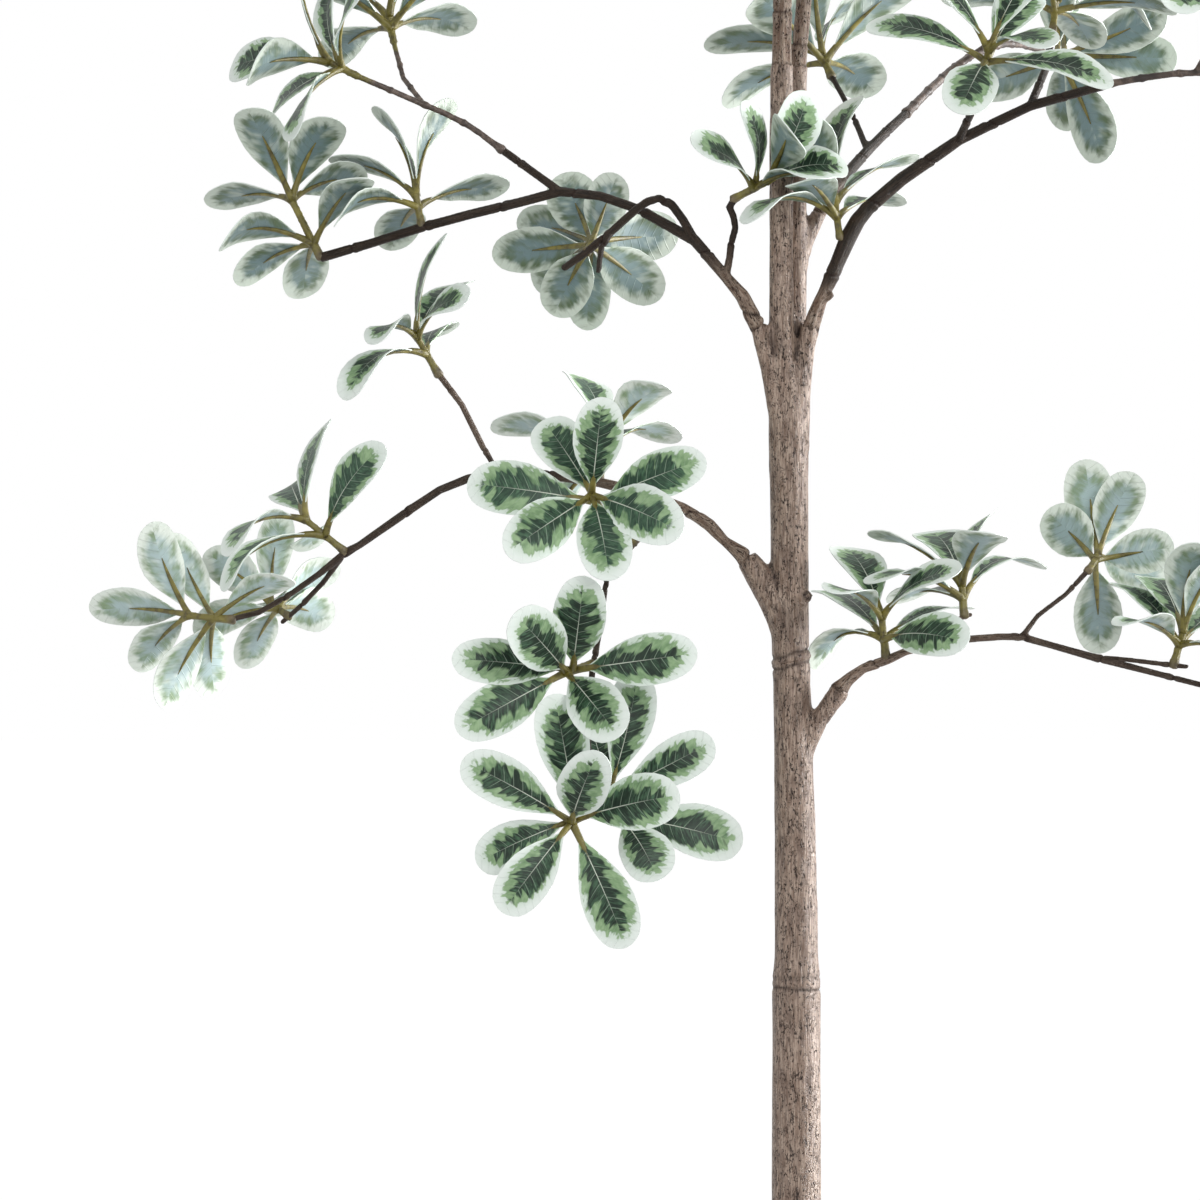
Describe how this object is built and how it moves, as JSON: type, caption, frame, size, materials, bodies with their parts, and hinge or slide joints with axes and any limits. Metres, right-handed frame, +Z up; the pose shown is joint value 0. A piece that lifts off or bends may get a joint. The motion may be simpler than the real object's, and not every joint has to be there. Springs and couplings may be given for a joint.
{
  "type": "potted madagascar almond tree",
  "caption": "Slim artificial tree in a plain round planter: jointed trunk, two leaders, arching limbs and rosettes of broad white-edged variegated leaves.",
  "frame": {"origin": "centre of the planter's flat underside", "axes": "+Z up along the trunk, -Y the tree's front, +X to the right seen from the front"},
  "size_m": [0.8625, 0.7538, 2.0696],
  "materials": {
    "charcoal_plastic": "matt moulded plastic",
    "cement": "rough cast",
    "potting_soil": "loose and matt",
    "trunk_bark": "moulded bark, satin on its ridges",
    "limb_bark": "moulded bark, satin",
    "leaves": "satin printed leaf on a moulded stem"
  },
  "bodies": {
    "root": {"planter_pot": "charcoal_plastic", "ballast_cement": "cement", "soil": "potting_soil", "trunk_butt": "trunk_bark", "trunk_lower": "trunk_bark", "trunk_middle": "trunk_bark", "trunk_upper": "trunk_bark", "leader_front": "limb_bark", "leader_rear": "limb_bark", "limb_left_low": "limb_bark", "limb_right_low": "limb_bark", "limb_left_high": "limb_bark", "limb_right_high": "limb_bark", "limb_back_right": "limb_bark", "limb_front": "limb_bark", "limb_back": "limb_bark", "limb_left_top": "limb_bark", "limb_right_top": "limb_bark", "spray_right_low": "leaves", "spray_left_high": "leaves", "spray_right_high": "leaves", "spray_back_right": "leaves", "spray_front": "leaves", "spray_back": "leaves", "spray_left_top": "leaves", "spray_right_top": "leaves", "spray_crown_left": "leaves", "spray_crown_right": "leaves", "spray_crown_back": "leaves", "spray_crown_inner": "leaves", "spray_crown_rear": "leaves", "rosette_01": "leaves", "rosette_02": "leaves", "rosette_03": "leaves", "rosette_04": "leaves", "rosette_05": "leaves", "rosette_06": "leaves", "rosette_07": "leaves", "rosette_08": "leaves", "rosette_09": "leaves", "rosette_10": "leaves", "rosette_11": "leaves", "rosette_12": "leaves", "rosette_13": "leaves", "rosette_14": "leaves", "rosette_15": "leaves", "rosette_16": "leaves", "rosette_17": "leaves", "rosette_18": "leaves", "rosette_19": "leaves", "rosette_20": "leaves", "rosette_21": "leaves", "rosette_22": "leaves", "rosette_23": "leaves", "rosette_24": "leaves", "rosette_25": "leaves", "rosette_26": "leaves", "rosette_27": "leaves", "rosette_28": "leaves", "rosette_29": "leaves"}
  },
  "joints": []
}
